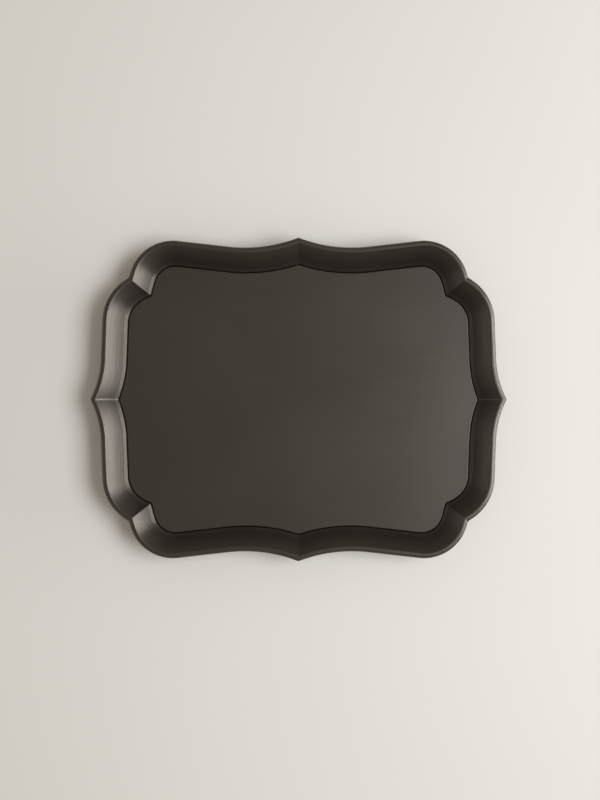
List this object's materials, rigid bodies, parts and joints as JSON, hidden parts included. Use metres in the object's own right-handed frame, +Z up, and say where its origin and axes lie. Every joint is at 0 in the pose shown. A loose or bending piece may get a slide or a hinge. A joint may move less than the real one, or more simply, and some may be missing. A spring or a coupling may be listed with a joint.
{
  "type": "serving tray",
  "caption": "Low rectangular serving tray with a scalloped outline: pointed mid-sides, notched corners, sloping mitred rails with a rounded rim and a flat inset floor.",
  "frame": {"origin": "on the table, under the middle of the tray", "axes": "+X along the length, +Y across the width, +Z up out of the tray"},
  "size_m": [0.45, 0.35, 0.032],
  "materials": {
    "lacquered_rail": "satin",
    "lacquered_panel": "satin",
    "bare_wood": "matte",
    "felt": "matte"
  },
  "bodies": {
    "root": {"floor_panel": "lacquered_panel", "long_rail_back": "lacquered_rail", "long_rail_front": "lacquered_rail", "short_rail_left": "lacquered_rail", "short_rail_right": "lacquered_rail", "spline_back_left": "bare_wood", "spline_back_right": "bare_wood", "spline_front_left": "bare_wood", "spline_front_right": "bare_wood", "pad_back_left": "felt", "pad_back_right": "felt", "pad_front_left": "felt", "pad_front_right": "felt"}
  },
  "joints": []
}
